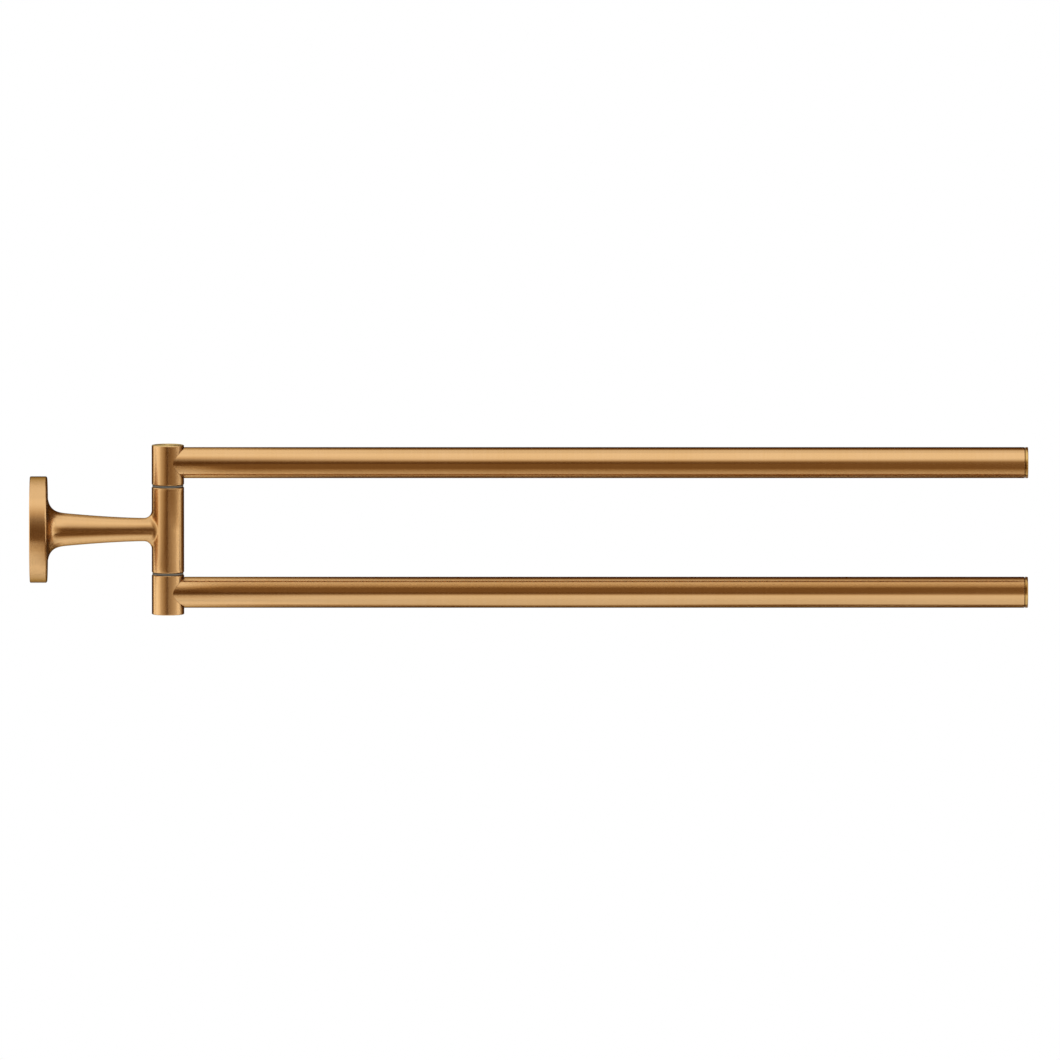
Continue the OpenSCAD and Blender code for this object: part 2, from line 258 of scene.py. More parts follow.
GRUB_SIDES = 48
NEAR = 0.01
NECK_END = PIVOT_X - BARREL_R - BLEND_R
OPEN_END = NECK_END - 1
FINE_STROKE = (0.4, 9)
BROAD_STROKE = (1.6, 30)
BROAD_SHARE = 0.45
STROKE_RELIEF = 0.0015
CLOUD_SIZE = 35
CLOUD_SHARE = 0.25
SATIN_SPREAD = 0.01
BRONZE, BRONZE_PALE, BRONZE_WARM = "#D8AD78", "#DBB17E", "#D4A76C"
# Painted shade: grey edge tints that darken the outline where the metal turns from the eye.
PAINTED_DARK_RIM, PAINTED_SOFT_RIM = "#5A5654", "#8A827A"
BARREL_NEAR, BARREL_FAR = 0.1, 1.6
# Painted light: the paler yellow of the hubs' outer ends, which are also drawn rougher.
PAINTED_END_LIGHT, FACED_ROUGH = "#E6CB90", 0.55
FACED_FULL, FACED_FROM = 0.05, 0.15


def taper_r(x):
    """Radius of the neck's plain taper at distance x from the wall."""
    left = max(NECK_END - x, 0) / (NECK_END - ROSETTE_T)
    return NECK_R + (ROOT_R - NECK_R) * left ** TAPER_POWER


def flare_point(step):
    """A point of the flare, which leaves the rosette's face flat and dies out along the taper."""
    t = math.pi / 4 * (1 - math.cos(math.pi * step / FLARE_STEPS))
    x = ROSETTE_T + FLARE_LEN * (1 - math.sqrt(math.cos(t)))
    height = ROSETTE_R - ROSETTE_EDGE - FLAT_W - ROOT_R
    return x, taper_r(x) + height * (1 - math.sqrt(math.sin(t)))


def blend_place(angle, share):
    """A point of the rolled blend: share 0 lies on the neck and share 1 on the barrel."""
    y = (NECK_R + BLEND_R) * math.sin(angle)
    z = (NECK_R + BLEND_R) * math.cos(angle)
    ball = Vector((-math.sqrt((BARREL_R + BLEND_R) ** 2 - y * y), y, z))
    to_neck = Vector((0, -math.sin(angle), -math.cos(angle)))
    to_barrel = Vector((-ball.x, -ball.y, 0)).normalized()
    return (Vector((PIVOT_X, 0, 0)) + ball + BLEND_R * to_neck.slerp(to_barrel, share)) * MM


def border(step):
    """A point on the edge of the barrel's skin, unrolled from the back: its way round and its height."""
    round_r, high = math.pi * BARREL_R, BARREL_H / 2 - HUB_EDGE
    quarter, turn = divmod(step, RING_SIDES // 4)
    turn = turn if quarter % 2 == 0 else RING_SIDES // 4 - turn
    if turn <= CORNER_STEP:
        u, v = round_r * turn / CORNER_STEP, high
    else:
        u, v = round_r, high * (RING_SIDES // 4 - turn) / (RING_SIDES // 4 - CORNER_STEP)
    return (u if quarter < 2 else -u), (v if quarter in (0, 3) else -v)


def skin_place(step, share):
    """A point of the barrel's skin on the way from the blend's edge to the skin's border."""
    start = blend_place(2 * math.pi * step / RING_SIDES, 1) / MM
    u = BARREL_R * math.atan2(start.y, PIVOT_X - start.x)
    end_u, end_v = border(step)
    u, v = u + (end_u - u) * share, start.z + (end_v - start.z) * share
    t = u / BARREL_R
    return Vector((PIVOT_X - BARREL_R * math.cos(t), BARREL_R * math.sin(t), v)) * MM


def grow(piece, ring, places):
    """Extrudes the selected ring of edges, and moves the corner at each point of ring to its place."""
    bpy.ops.mesh.extrude_region_move()
    shape = bmesh.from_edit_mesh(piece.data)
    nearest = KDTree(len(ring))
    for i, point in enumerate(ring):
        nearest.insert(point, i)
    nearest.balance()
    for corner in shape.verts:
        if corner.select:
            corner.co = places[nearest.find(corner.co)[1]]
    bmesh.update_edit_mesh(piece.data)
    return places


def select_where(piece, wanted):
    """Selects the open edges whose middle passes the test, in edit mode."""
    bpy.ops.mesh.select_all(action="DESELECT")
    shape = bmesh.from_edit_mesh(piece.data)
    for edge in shape.edges:
        if edge.is_boundary and wanted((edge.verts[0].co + edge.verts[1].co) / 2):
            edge.select = True
    shape.select_flush(True)
    bmesh.update_edit_mesh(piece.data)


def turn_edge(axis_x, radius, height, edge, bore_r, up):
    """Extrudes a selected round edge inwards over a rounded corner, and on to the bore."""
    now, middle = radius, (axis_x * MM, 0, height * MM)
    for i in range(1, EDGE_STEPS + 1):
        t = math.radians(90 * i / EDGE_STEPS)
        level = edge * (math.sin(t) - math.sin(t - math.radians(90 / EDGE_STEPS)))
        wide = radius - edge + edge * math.cos(t)
        bpy.ops.mesh.extrude_region_move(TRANSFORM_OT_translate={"value": (0, 0, up * level * MM)})
        bpy.ops.transform.resize(value=(wide / now, wide / now, 1), center_override=middle)
        now = wide
    bpy.ops.mesh.extrude_region_move()
    bpy.ops.transform.resize(value=(bore_r / now, bore_r / now, 1), center_override=middle)


casting = turned("visible_wall_post", "X", (0, 0, 0), [
    (RECESS_DEPTH, 0), (RECESS_DEPTH, RECESS_R), (RECESS_EDGE, RECESS_R), (0, RECESS_R + RECESS_EDGE),
    (0, ROSETTE_R - BACK_RIM_EDGE), (BACK_RIM_EDGE, ROSETTE_R)]
    + rounded(ROSETTE_T - ROSETTE_EDGE, ROSETTE_R - ROSETTE_EDGE, ROSETTE_EDGE, 90, steps=6)
    + [flare_point(i) for i in range(FLARE_STEPS + 1)]
    + [(x, taper_r(x)) for x in
       (ROSETTE_T + FLARE_LEN + (OPEN_END - ROSETTE_T - FLARE_LEN) * i / TAPER_STEPS
        for i in range(1, TAPER_STEPS + 1))], sides=RING_SIDES)
bpy.ops.object.mode_set(mode="EDIT")
select_where(casting, lambda p: p.x > (OPEN_END - NEAR) * MM)
angles = [2 * math.pi * i / RING_SIDES for i in range(RING_SIDES)]
open_r = taper_r(OPEN_END)
ring = [Vector((OPEN_END, open_r * math.sin(a), open_r * math.cos(a))) * MM for a in angles]
for step in range(BLEND_STEPS + 1):
    ring = grow(casting, ring, [blend_place(a, step / BLEND_STEPS) for a in angles])
for step in range(1, SKIN_STEPS + 1):
    share = (step / SKIN_STEPS) ** SKIN_POWER
    ring = grow(casting, ring, [skin_place(i, share) for i in range(RING_SIDES)])
bpy.ops.mesh.select_all(action="SELECT")
bpy.ops.mesh.remove_doubles(threshold=WELD)
for up in (1, -1):
    select_where(casting, lambda p: p.z * up > (BARREL_H / 2 - HUB_EDGE - NEAR) * MM)
    turn_edge(PIVOT_X, BARREL_R, up * BARREL_H / 2, HUB_EDGE, AXLE_R + FIT, up)
select_where(casting, lambda p: True)
bpy.ops.mesh.bridge_edge_loops()
bpy.ops.mesh.select_all(action="SELECT")
bpy.ops.mesh.normals_make_consistent(inside=False)
bpy.ops.object.mode_set(mode="OBJECT")
cut_away(casting, turned("grub_hole", "Z", (GROOVE_X, 0, 0), [
    (-ROSETTE_R - PAST, 0), (-ROSETTE_R - PAST, GRUB_R + FIT), (-RECESS_R + PAST, GRUB_R + FIT),
    (-RECESS_R + PAST, 0)], sides=GRUB_SIDES))
smooth(casting)


def brushed_bronze(name, lathes, satin=0.25, faced=None, rim=PAINTED_DARK_RIM):
    """Brass, brushed round and coated bronze: a warm satin mirror, with strokes that run round each
    turned form. Real strokes are about 0.05 mm apart. They are drawn 0.4 and 1.6 mm apart, to show. A
    second form takes over near its own surface. faced is the height of the outer ends, drawn rougher
    and in a paler yellow, which is painted light. rim is the edge tint where the surface turns from
    the eye, set grey to paint a dark outline."""
    made, tree, shader = new_material(name)
    marks = [lathe_marks(tree, axis, centre) for axis, centre in lathes]
    place, turn = marks[0]
    if len(marks) > 1:
        radius = add(tree, "ShaderNodeSeparateXYZ", {0: marks[1][0]}).outputs[1]
        reach = {0: radius, 1: (BARREL_R + BARREL_FAR) * MM, 2: (BARREL_R + BARREL_NEAR) * MM}
        share = add(tree, "ShaderNodeMapRange", reach, interpolation_type="SMOOTHSTEP").outputs[0]
        place, turn = (add(tree, "ShaderNodeMix", {0: share, 4: a, 5: b}, data_type="VECTOR").outputs[1]
                       for a, b in zip(*marks))
    fine = strokes(tree, place, *FINE_STROKE)
    broad = strokes(tree, place, *BROAD_STROKE)
    both = add(tree, "ShaderNodeMix", {0: BROAD_SHARE, 2: fine, 3: broad}).outputs[0]
    spot = add(tree, "ShaderNodeTexCoord").outputs["Object"]
    cloud = add(tree, "ShaderNodeTexNoise",
                {"Vector": spot, "Scale": 1 / (CLOUD_SIZE * MM), "Detail": 1}).outputs["Fac"]
    cloud = add(tree, "ShaderNodeMapRange",
                {0: cloud, 1: NOISE_LOW, 2: NOISE_HIGH, 4: CLOUD_SHARE}).outputs[0]
    tone = add(tree, "ShaderNodeMix", {0: both, 6: linear(BRONZE), 7: linear(BRONZE_PALE)},
               data_type="RGBA").outputs[2]
    tone = add(tree, "ShaderNodeMix", {0: cloud, 6: tone, 7: linear(BRONZE_WARM)},
               data_type="RGBA").outputs[2]
    rough = add(tree, "ShaderNodeMapRange",
                {0: both, 3: satin - SATIN_SPREAD, 4: satin + SATIN_SPREAD}).outputs[0]
    # Painted light: the outer ends turn paler yellow, as well as rougher.
    if faced:
        height = add(tree, "ShaderNodeSeparateXYZ", {0: spot}).outputs[2]
        height = add(tree, "ShaderNodeMath", {0: height}, operation="ABSOLUTE").outputs[0]
        face = add(tree, "ShaderNodeMapRange",
                   {0: height, 1: (faced - FACED_FROM) * MM, 2: (faced - FACED_FULL) * MM}).outputs[0]
        rough = add(tree, "ShaderNodeMix", {0: face, 2: rough, 3: FACED_ROUGH}).outputs[0]
        tone = add(tree, "ShaderNodeMix", {0: face, 6: tone, 7: linear(PAINTED_END_LIGHT)},
                   data_type="RGBA").outputs[2]
    tree.links.new(tone, shader.inputs["Base Color"])
    tree.links.new(rough, shader.inputs["Roughness"])
    raised = add(tree, "ShaderNodeBump",
                 {"Height": both, "Strength": 0.2, "Distance": STROKE_RELIEF * MM})
    tree.links.new(raised.outputs[0], shader.inputs["Normal"])
    tree.links.new(turn, shader.inputs["Tangent"])
    shader.inputs["Metallic"].default_value = 1
    # Painted shade: the grey edge tint draws a dark outline.
    shader.inputs["Specular Tint"].default_value = linear(rim)
    shader.inputs["Anisotropic"].default_value = 0.6
    shader.inputs["Anisotropic Rotation"].default_value = 0.25
    return made


dress(casting, brushed_bronze("brushed_bronze_casting", [("X", (0, 0, 0)), ("Z", (PIVOT_X, 0, 0))],
                              rim=PAINTED_SOFT_RIM))
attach(casting, "wall_bracket")
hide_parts("wall_post")


# Grub screw.
# A stainless M4 screw without a head, driven up through the rosette's rim with a 2 mm key. Its point
# sits in the wall plate's groove and pulls the rosette against the wall.
SCREW_FOOT = -23.7
SCREW_TIP = -19.65
TIP_R = 0.4
THREAD_PITCH = 0.7
THREAD_DEPTH = 0.3
THREAD_CREST = (0.1, 0.2)
THREAD_ROOT = (0.55, 0.65)
FOOT_EDGE = 0.3
KEY_FLATS = 2
KEY_DEPTH = 1.4


def thread(start, end, radius, pitch, depth):
    """Outline of a screw thread, drawn as rings of its pitch, from start to end. Crest and root are
    shares of a pitch."""
    count = int(abs(end - start) / pitch)
    step = (end - start) / count
    points = []
    for i in range(count):
        a = start + step * i
        points += [(a + step * share, radius) for share in THREAD_CREST]
        points += [(a + step * share, radius - depth) for share in THREAD_ROOT]
    return points + [(end, radius)]


def key_hole(name, centre, flats, depth):
    """A six-sided bar about centre, which cuts a key socket of this depth."""
    deselect()
    bpy.ops.mesh.primitive_cylinder_add(vertices=6, radius=flats * MM / math.sqrt(3),
                                        depth=(depth + PAST) * MM, location=[c * MM for c in centre])
    bar = bpy.context.object
    bar.name = name
    bpy.ops.object.transform_apply(location=True, rotation=True, scale=True)
    return bar


cone_start = SCREW_TIP - (GRUB_R - TIP_R)
grub_screw = turned("visible_grub_screw", "Z", (GROOVE_X, 0, 0), [
    (SCREW_FOOT, 0), (SCREW_FOOT, GRUB_R - FOOT_EDGE), (SCREW_FOOT + FOOT_EDGE, GRUB_R)]
    + thread(SCREW_FOOT + FOOT_EDGE, cone_start, GRUB_R, THREAD_PITCH, THREAD_DEPTH)
    + [(SCREW_TIP, TIP_R), (SCREW_TIP, 0)], sides=GRUB_SIDES)
key_middle = (GROOVE_X, 0, SCREW_FOOT + (KEY_DEPTH - PAST) / 2)
cut_away(grub_screw, key_hole("grub_key", key_middle, KEY_FLATS, KEY_DEPTH))
smooth(grub_screw, degrees=30)
dress(grub_screw, turned_steel("stainless_steel_grub", "Z", (GROOVE_X, 0, 0)))
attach(grub_screw, "wall_bracket")
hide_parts("rosette_grub_screw")


# Axle, retaining screws, disc springs and thrust washers.
# Stainless steel, turned or punched. The axle is fixed in the barrel. On each end a screw presses
# washer and spring on the hub's web, so that the arm keeps its place. All of it is closed in.
pivot_steel = turned_steel("stainless_steel_turned", "Z", (PIVOT_X, 0, 0))
for name in ("pivot_axle", "retaining_screws", "upper_disc_spring", "lower_disc_spring",
             "upper_thrust_washer", "lower_thrust_washer"):
    dress(nodes[name], pivot_steel)


# Grey friction rings.
# One between the barrel and each hub, moulded in grey acetal. They give the arms their even drag. A hair
# of shadow shows above and below them, part of it painted shade: darker grey in the ring's corners.
RING_Z = 19.3
RING_T = 1.1
RING_R = 7.0
RING_EDGE = 0.3
GRAIN = 0.3
GRAIN_RELIEF = 0.008
ACETAL, ACETAL_PALE, PAINTED_CREASE_SHADE = "#6E685D", "#7A7468", "#3A332A"
ACETAL_ROUGH = (0.42, 0.55)
CREASE_FROM, CREASE_FULL = 0.15, 0.45


def moulded_acetal(name, shade_colour):
    """Acetal, moulded: an even, slightly waxy grey with a fine grain, 0.3 mm as in a bead-blasted
    mould. The shade colour is painted shade, laid in the ring's corners beside the metal."""
    made, tree, shader = new_material(name)
    spot = add(tree, "ShaderNodeTexCoord").outputs["Object"]
    grain = add(tree, "ShaderNodeTexNoise",
                {"Vector": spot, "Scale": 1 / (GRAIN * MM), "Detail": 3}).outputs["Fac"]
    grain = add(tree, "ShaderNodeMapRange", {0: grain, 1: NOISE_LOW, 2: NOISE_HIGH}).outputs[0]
    tone = add(tree, "ShaderNodeMix", {0: grain, 6: linear(ACETAL), 7: linear(ACETAL_PALE)},
               data_type="RGBA").outputs[2]
    off = add(tree, "ShaderNodeSeparateXYZ", {0: spot}).outputs[2]
    off = add(tree, "ShaderNodeMath", {0: off}, operation="ABSOLUTE").outputs[0]
    off = add(tree, "ShaderNodeMath", {0: off, 1: (RING_Z + RING_T / 2) * MM},
              operation="SUBTRACT").outputs[0]
    off = add(tree, "ShaderNodeMath", {0: off}, operation="ABSOLUTE").outputs[0]
    # Painted shade: the ring darkens towards the shade colour near its faces beside the metal.
    deep = add(tree, "ShaderNodeMapRange",
               {0: off, 1: CREASE_FROM * MM, 2: CREASE_FULL * MM}).outputs[0]
    tone = add(tree, "ShaderNodeMix", {0: deep, 6: tone, 7: linear(shade_colour)},
               data_type="RGBA").outputs[2]
    tree.links.new(tone, shader.inputs["Base Color"])
    rough = add(tree, "ShaderNodeMapRange",
                {0: grain, 3: ACETAL_ROUGH[0], 4: ACETAL_ROUGH[1]}).outputs[0]
    tree.links.new(rough, shader.inputs["Roughness"])
    raised = add(tree, "ShaderNodeBump",
                 {"Height": grain, "Strength": 0.3, "Distance": GRAIN_RELIEF * MM})
    tree.links.new(raised.outputs[0], shader.inputs["Normal"])
    shader.inputs["IOR"].default_value = 1.48
    return made


def twin(piece, name, drop, flip_at=None):
    """A copy of a piece with its own mesh, moved down by drop, or turned upside down about flip_at."""
    deselect()
    piece.select_set(True)
    bpy.context.view_layer.objects.active = piece
    bpy.ops.object.duplicate(linked=False)
    copy = bpy.context.object
    copy.name = copy.data.name = name
    bpy.ops.object.mode_set(mode="EDIT")
    bpy.ops.mesh.select_all(action="SELECT")
    if flip_at is None:
        bpy.ops.transform.translate(value=(0, 0, -drop * MM))
    else:
        bpy.ops.transform.rotate(value=math.pi, orient_axis="X",
                                 center_override=(PIVOT_X * MM, 0, flip_at * MM))
    bpy.ops.object.mode_set(mode="OBJECT")
    copy.data.materials.clear()
    return copy


grey_acetal = moulded_acetal("grey_acetal_ring", PAINTED_CREASE_SHADE)
upper_ring = turned("visible_upper_friction_ring", "Z", (PIVOT_X, 0, RING_Z), [(0, AXLE_R + FIT)]
    + rounded(RING_EDGE, RING_R - RING_EDGE, RING_EDGE, 180)
    + rounded(RING_T - RING_EDGE, RING_R - RING_EDGE, RING_EDGE, 90)
    + [(RING_T, AXLE_R + FIT), (0, AXLE_R + FIT)])
smooth(upper_ring)
lower_ring = twin(upper_ring, "visible_lower_friction_ring", 0, flip_at=0)
for ring_piece, node_name in ((upper_ring, "upper_friction_ring"), (lower_ring, "lower_friction_ring")):
    dress(ring_piece, grey_acetal)
    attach(ring_piece, "wall_bracket")
    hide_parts(node_name)


# Hub bushes.
# Acetal too, pressed into each hub's lower half, so that the hub turns on plastic and not on bare
# steel. They are closed in, and keep the frame's shape.
bush_acetal = moulded_acetal("grey_acetal_bush", ACETAL)
for name in ("upper_hub_bush", "lower_hub_bush"):
    dress(nodes[name], bush_acetal)


# Hubs.
# Turned brass, as wide as the barrel and brushed round like it, with a counterbore in each end and a
# cross hole for the tube's spigot. Each stands above its grey ring.
HUB_Z = 20.4
HUB_H = 17.9
TUBE_ABOVE = 9.9
ARM_DROP = 58.7
COUNTER_R = 5.6
COUNTER_DEPTH = 5.5
BUSH_HOLE_R = 4.4
SHANK_R = 2
SHANK_SIDES = 48
BORE_EDGE = 0.1

upper_hub = turned("visible_upper_hub", "Z", (PIVOT_X, 0, HUB_Z), [
    (COUNTER_DEPTH, BUSH_HOLE_R), (COUNTER_DEPTH, COUNTER_R), (BORE_EDGE, COUNTER_R),
    (0, COUNTER_R + BORE_EDGE)]
    + rounded(HUB_EDGE, BARREL_R - HUB_EDGE, HUB_EDGE, 180, steps=5)
    + rounded(HUB_H - HUB_EDGE, BARREL_R - HUB_EDGE, HUB_EDGE, 90, steps=5)
    + [(HUB_H, COUNTER_R + BORE_EDGE), (HUB_H - BORE_EDGE, COUNTER_R),
       (HUB_H - COUNTER_DEPTH, COUNTER_R), (HUB_H - COUNTER_DEPTH, BUSH_HOLE_R),
       (COUNTER_DEPTH, BUSH_HOLE_R)])
cut_away(upper_hub, turned("shank_hole", "X", (PIVOT_X, 0, HUB_Z + TUBE_ABOVE), [
    (0, 0), (0, SHANK_R), (BARREL_R + PAST, SHANK_R), (BARREL_R + PAST, 0)], sides=SHANK_SIDES))
smooth(upper_hub)
lower_hub = twin(upper_hub, "visible_lower_hub", ARM_DROP)
hub_bronze = brushed_bronze("brushed_bronze_hub", [("Z", (PIVOT_X, 0, 0))], faced=HUB_Z + HUB_H)
for hub, arm in ((upper_hub, "upper_arm"), (lower_hub, "lower_arm")):
    dress(hub, hub_bronze)
    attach(hub, arm)
    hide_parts(arm.replace("arm", "hub"))


# Hub covers.
# Thin brass discs pressed into the outer counterbore after the screw is tight, flush with the hub's end
# and finished like it. A fine seam shows round them.
COVER_T = 1.2
COVER_EDGE = 0.2
COVER_FOOT = 0.1
COVER_R = COUNTER_R - FIT

upper_cover = turned("visible_upper_hub_cover", "Z", (PIVOT_X, 0, HUB_Z + HUB_H - COVER_T), [
    (0, 0), (0, COVER_R - COVER_FOOT), (COVER_FOOT, COVER_R)]
    + rounded(COVER_T - COVER_EDGE, COVER_R - COVER_EDGE, COVER_EDGE, 90) + [(COVER_T, 0)])
smooth(upper_cover)
lower_cover = twin(upper_cover, "visible_lower_hub_cover", 0, flip_at=0)
for cover, arm in ((upper_cover, "upper_arm"), (lower_cover, "lower_arm")):
    dress(cover, hub_bronze)
    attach(cover, arm)
    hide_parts(arm.replace("arm", "hub_cover"))


# Tube spigots.
# Turned stainless plugs, soldered into the hub's cross hole and into the tube, which they carry. They
# are closed in, and keep the frame's shape.
TUBE_Z = HUB_Z + TUBE_ABOVE
for arm, height in (("upper", TUBE_Z), ("lower", TUBE_Z - ARM_DROP)):
    spigot_steel = turned_steel("stainless_steel_spigot_" + arm, "X", (0, 0, height))
    dress(nodes[arm + "_tube_spigot"], spigot_steel)


# Arm tubes.
# Drawn brass tube, 14 mm with a 1 mm wall, coped to a saddle that fits the hub, and brushed round and
# coated like the rest. The coped edge is just broken, so that a fine line shows where it meets the hub.
TUBE_R = 7
TUBE_WALL = 1
TUBE_END = 448.3
TUBE_SIDES = 144
BREAK = 0.18
BREAK_MIDDLE = 0.05
END_EDGE = 0.12


def saddle(radius, back, sides=TUBE_SIDES):
    """A ring of the tube's coped end at this radius, set back from the hub."""
    points = []
    for i in range(sides):
        t = 2 * math.pi * i / sides
        y, z = radius * math.sin(t), radius * math.cos(t)
        x = PIVOT_X + math.sqrt((BARREL_R + FIT) ** 2 - y * y) + back
        points.append(Vector((x, y, TUBE_Z + z)) * MM)
    return points


def square_end(radius, x, sides=TUBE_SIDES):
    """A ring of the tube's straight end at this radius."""
    turns = [2 * math.pi * i / sides for i in range(sides)]
    return [Vector((x, radius * math.sin(t), TUBE_Z + radius * math.cos(t))) * MM for t in turns]


deselect()
bpy.ops.mesh.primitive_circle_add(vertices=TUBE_SIDES, radius=(TUBE_R - END_EDGE) * MM,
                                  location=(TUBE_END * MM, 0, TUBE_Z * MM),
                                  rotation=(0, math.pi / 2, 0))
upper_tube = bpy.context.object
upper_tube.name = upper_tube.data.name = "visible_upper_tube"
bpy.ops.object.transform_apply(location=True, rotation=True, scale=True)
bpy.ops.object.mode_set(mode="EDIT")
bpy.ops.mesh.select_all(action="SELECT")
ring = square_end(TUBE_R - END_EDGE, TUBE_END)
for places in (square_end(TUBE_R, TUBE_END - END_EDGE), saddle(TUBE_R, BREAK),
               saddle(TUBE_R - BREAK_MIDDLE, BREAK_MIDDLE), saddle(TUBE_R - BREAK, 0),
               saddle(TUBE_R - TUBE_WALL, 0), square_end(TUBE_R - TUBE_WALL, TUBE_END)):
    ring = grow(upper_tube, ring, places)
select_where(upper_tube, lambda p: True)
bpy.ops.mesh.bridge_edge_loops()
bpy.ops.mesh.select_all(action="SELECT")
bpy.ops.mesh.normals_make_consistent(inside=False)
bpy.ops.object.mode_set(mode="OBJECT")
smooth(upper_tube)
lower_tube = twin(upper_tube, "visible_lower_tube", ARM_DROP)
for tube, arm, height in ((upper_tube, "upper_arm", TUBE_Z),
                          (lower_tube, "lower_arm", TUBE_Z - ARM_DROP)):
    dress(tube, brushed_bronze("brushed_bronze_tube_" + arm, [("X", (0, 0, height))], satin=0.2))
    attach(tube, arm)
    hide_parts(arm.replace("arm", "tube"))


# End caps.
# Turned brass plugs pressed into the tubes, polished instead of brushed, so that they look yellower. A
# groove, coloured dark as painted shade, parts each from its tube, and the face is just crowned.
CAP_T = 1.7
PLUG_LEN = 8
PLUG_EDGE = 0.3
PLUG_R = TUBE_R - TUBE_WALL - FIT
CAP_EDGE = 0.4
SEAM_W = 0.3
SEAM_DEPTH = 0.35
SEAM_EDGE = 0.06
SEAM_FADE = 0.05
CROWN = 0.12
CROWN_RINGS = (5.5, 4.2, 2.8, 1.4)
WHEEL_MARK = (0.8, 6)
WHEEL_RELIEF = 0.004
POLISHED, POLISHED_PALE, PAINTED_GROOVE_SHADE = "#C7A05E", "#CFA869", "#6B4A1C"
POLISHED_ROUGH = (0.08, 0.13)


def polished_bronze(name, centre):
    """The same coating over polished brass: a clear yellow mirror with faint wheel marks, and painted
    shade in the groove. Real marks are finer: these are 0.8 mm apart, to show."""
    made, tree, shader = new_material(name)
    place = lathe_marks(tree, "X", centre)[0]
    marks = strokes(tree, place, *WHEEL_MARK)
    tone = add(tree, "ShaderNodeMix", {0: marks, 6: linear(POLISHED), 7: linear(POLISHED_PALE)},
               data_type="RGBA").outputs[2]
    spot = add(tree, "ShaderNodeTexCoord").outputs["Object"]
    x = add(tree, "ShaderNodeSeparateXYZ", {0: spot}).outputs[0]
    # Painted shade: the groove turns dark brown.
    seam_end = TUBE_END + SEAM_W
    groove = add(tree, "ShaderNodeMapRange",
                 {0: x, 1: (seam_end + SEAM_FADE) * MM, 2: seam_end * MM}).outputs[0]
    tone = add(tree, "ShaderNodeMix", {0: groove, 6: tone, 7: linear(PAINTED_GROOVE_SHADE)},
               data_type="RGBA").outputs[2]
    tree.links.new(tone, shader.inputs["Base Color"])
    rough = add(tree, "ShaderNodeMapRange",
                {0: marks, 3: POLISHED_ROUGH[0], 4: POLISHED_ROUGH[1]}).outputs[0]
    tree.links.new(rough, shader.inputs["Roughness"])
    raised = add(tree, "ShaderNodeBump",
                 {"Height": marks, "Strength": 0.08, "Distance": WHEEL_RELIEF * MM})
    tree.links.new(raised.outputs[0], shader.inputs["Normal"])
    shader.inputs["Metallic"].default_value = 1
    return made


upper_cap = turned("visible_upper_tip_cap", "X", (TUBE_END, 0, TUBE_Z), [
    (-PLUG_LEN, 0), (-PLUG_LEN, PLUG_R - PLUG_EDGE), (-PLUG_LEN + PLUG_EDGE, PLUG_R), (0, PLUG_R),
    (0, TUBE_R - SEAM_DEPTH), (SEAM_W, TUBE_R - SEAM_DEPTH), (SEAM_W, TUBE_R - SEAM_EDGE),
    (SEAM_W + SEAM_EDGE, TUBE_R)]
    + rounded(CAP_T - CROWN - CAP_EDGE, TUBE_R - CAP_EDGE, CAP_EDGE, 90, sweep=-84, steps=5)
    + [(CAP_T - CROWN * (r / TUBE_R) ** 2, r) for r in CROWN_RINGS] + [(CAP_T, 0)])
smooth(upper_cap)
lower_cap = twin(upper_cap, "visible_lower_tip_cap", ARM_DROP)
for cap, arm, height in ((upper_cap, "upper_arm", TUBE_Z),
                         (lower_cap, "lower_arm", TUBE_Z - ARM_DROP)):
    dress(cap, polished_bronze("polished_bronze_" + arm, (0, 0, height)))
    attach(cap, arm)
    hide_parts(arm.replace("arm", "tip_cap"))


# Floor.
# A plain pale studio floor, well under the holder, which is a wall fitting. It keeps the soft shadow
# near the holder, and farther off it shows as plain white, to the camera and in the metal.
FLOOR_Z = -300
FLOOR_SIZE = 40
MIDDLE_X = 225
SHADOW_NEAR, SHADOW_FAR = 0.15, 0.45
SHADOW_OVAL = (0.6, 1, 1)
WHITE_NEAR = 0.45
WHITE, FLOOR_WHITE = "#FFFFFF", "#EFEFEF"

deselect()
bpy.ops.mesh.primitive_grid_add(x_subdivisions=8, y_subdivisions=8, size=FLOOR_SIZE,
                                location=(0, 0, FLOOR_Z * MM))
floor = bpy.context.object
floor.name = floor.data.name = "studio_floor"
bpy.ops.object.transform_apply(location=True, rotation=True, scale=True)


def seen_share(tree):
    """1 for rays from the camera and for those that a mirror or glass sends on, 0 for light itself."""
    path = add(tree, "ShaderNodeLightPath").outputs
    seen = add(tree, "ShaderNodeMath", {0: path["Is Camera Ray"], 1: path["Is Glossy Ray"]},
               operation="MAXIMUM").outputs[0]
    return add(tree, "ShaderNodeMath", {0: seen, 1: path["Is Transmission Ray"]},
               operation="MAXIMUM").outputs[0]


floor_paint = bpy.data.materials.new("matt_white_floor_paint")
floor_paint.use_nodes = True
tree = floor_paint.node_tree
tree.nodes.clear()
spot = add(tree, "ShaderNodeTexCoord").outputs["Object"]
oval = add(tree, "ShaderNodeVectorMath", {0: spot, 1: (MIDDLE_X * MM, 0, FLOOR_Z * MM)},
           operation="SUBTRACT").outputs[0]
oval = add(tree, "ShaderNodeVectorMath", {0: oval, 1: SHADOW_OVAL}, operation="MULTIPLY").outputs[0]
oval = add(tree, "ShaderNodeVectorMath", {0: oval}, operation="LENGTH").outputs["Value"]
away = add(tree, "ShaderNodeMapRange", {0: oval, 1: SHADOW_NEAR, 2: SHADOW_FAR, 3: WHITE_NEAR, 4: 1},
           interpolation_type="SMOOTHSTEP").outputs[0]
plain = add(tree, "ShaderNodeMath", {0: away, 1: seen_share(tree)}, operation="MULTIPLY").outputs[0]
